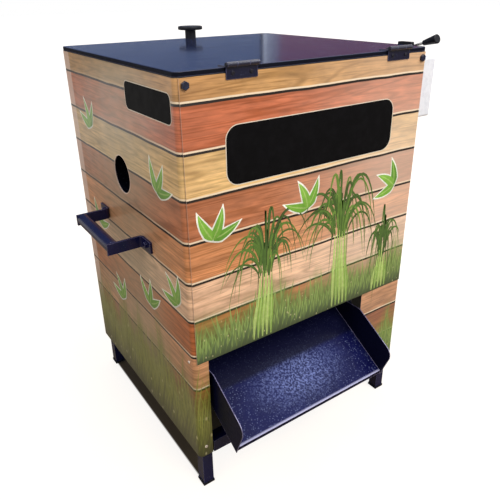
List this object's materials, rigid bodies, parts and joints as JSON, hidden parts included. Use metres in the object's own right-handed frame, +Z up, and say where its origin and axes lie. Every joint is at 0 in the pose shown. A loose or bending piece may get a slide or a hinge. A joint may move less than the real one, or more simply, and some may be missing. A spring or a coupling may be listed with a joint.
{
  "type": "sugarcane peeling machine",
  "caption": "Free-standing sheet-metal cabinet on legs with a hinged lid, cane holes in its sides, an inner brush drum with rollers, a hand lever and a discharge tray.",
  "frame": {"origin": "on the floor under the middle of the machine's box", "axes": "+Z up, the front with the discharge tray towards -Y, cane travels along +X"},
  "size_m": [0.761, 0.6962, 0.946],
  "materials": {
    "printed_steel": "sheet steel with a printed wood-plank film under clear coat",
    "navy_enamel": "glossy dark navy enamel, slightly hammered",
    "black_plastic": "moulded black plastic with a satin skin",
    "white_plastic": "moulded white plastic",
    "breaker_plastic": "pale grey moulded plastic",
    "toggle_plastic": "black moulded toggle",
    "rubber": "black rubber",
    "roller_rubber": "dark grey hard rubber, ground",
    "zinc_plate": "bright zinc plate",
    "bright_steel": "ground bright steel bar",
    "stainless_sheet": "brushed stainless sheet",
    "brush_wire": "packed crimped steel wire",
    "brush_body": "turned aluminium",
    "cast_iron": "cast iron, painted",
    "bronze": "sintered bronze",
    "motor_paint": "grey-blue machine paint"
  },
  "bodies": {
    "cabinet": {"left_panel": "printed_steel", "right_panel": "printed_steel", "front_panel": "printed_steel", "back_panel": "printed_steel", "inlet_tube": "navy_enamel", "outlet_tube": "navy_enamel", "discharge_tray": "navy_enamel", "inner_chute": "navy_enamel", "left_handle": "navy_enamel", "right_handle": "navy_enamel", "leg_front_left": "navy_enamel", "leg_front_right": "navy_enamel", "leg_back_left": "navy_enamel", "leg_back_right": "navy_enamel", "top_rails": "navy_enamel", "middle_rails": "navy_enamel", "bottom_rails": "navy_enamel", "motor_rails": "navy_enamel", "hinge_front_leaves": "navy_enamel", "lever_guide": "black_plastic", "leg_feet": "black_plastic", "cable_gland": "black_plastic", "switch_base": "white_plastic", "switch_cover": "white_plastic", "breaker": "breaker_plastic", "lid_seal": "rubber", "drive_belt": "rubber", "panel_screws": "zinc_plate", "handle_bolts": "zinc_plate", "hinge_front_screws": "zinc_plate", "machine_bolts": "zinc_plate", "hinge_pins": "zinc_plate", "chamber_left_plate": "stainless_sheet", "chamber_right_plate": "stainless_sheet", "pillow_blocks": "cast_iron", "roller_bushes": "bronze", "pivot_bushes": "bronze", "motor_housing": "motor_paint", "motor_cowl": "motor_paint", "motor_base": "motor_paint"},
    "lid": {"lid": "navy_enamel", "lid_knob": "black_plastic", "hinge_lid_leaves": "navy_enamel", "hinge_lid_screws": "zinc_plate"},
    "pressure_arm": {"pressure_arms": "motor_paint", "pressure_axle": "bright_steel", "pivot_shaft": "bright_steel", "hand_lever": "bright_steel", "lever_grip": "black_plastic"},
    "pressure_roller": {"pressure_roller": "roller_rubber"},
    "brush": {"brush_shaft": "bright_steel", "brush_core": "brush_body", "brush_strips": "brush_wire", "brush_pulley": "cast_iron"},
    "support_roller": {"support_roller": "roller_rubber", "support_shaft": "bright_steel"},
    "motor_rotor": {"motor_shaft": "bright_steel", "motor_pulley": "cast_iron", "motor_fan": "black_plastic"},
    "toggle": {"breaker_toggle": "toggle_plastic"}
  },
  "joints": [
    {"name": "lid_hinge", "type": "hinge", "parent": "cabinet", "child": "lid", "pos_m": [0, -0.24837, 0.919], "axis": [1, 0, 0], "range_deg": [0, 250]},
    {"name": "pressure_lever", "type": "hinge", "parent": "cabinet", "child": "pressure_arm", "pos_m": [0, -0.02937, 0.862], "axis": [1, 0, 0], "range_deg": [0, 4]},
    {"name": "pressure_roller_spin", "type": "hinge", "parent": "pressure_arm", "child": "pressure_roller", "pos_m": [0, 0.06387, 0.71123], "axis": [1, 0, 0], "continuous": true},
    {"name": "brush_spin", "type": "hinge", "parent": "cabinet", "child": "brush", "pos_m": [0, -0.04926, 0.63655], "axis": [1, 0, 0], "continuous": true},
    {"name": "support_roller_spin", "type": "hinge", "parent": "cabinet", "child": "support_roller", "pos_m": [0, 0.07674, 0.63655], "axis": [1, 0, 0], "continuous": true},
    {"name": "motor_spin", "type": "hinge", "parent": "cabinet", "child": "motor_rotor", "pos_m": [0, 0.18663, 0.216], "axis": [1, 0, 0], "continuous": true},
    {"name": "breaker_switch", "type": "hinge", "parent": "cabinet", "child": "toggle", "pos_m": [0.349, -0.20087, 0.825], "axis": [0, -1, 0], "range_deg": [0, 70]}
  ],
  "couplings": [
    {"joint": "motor_spin", "follows": "brush_spin", "ratio": 1.4237}
  ]
}
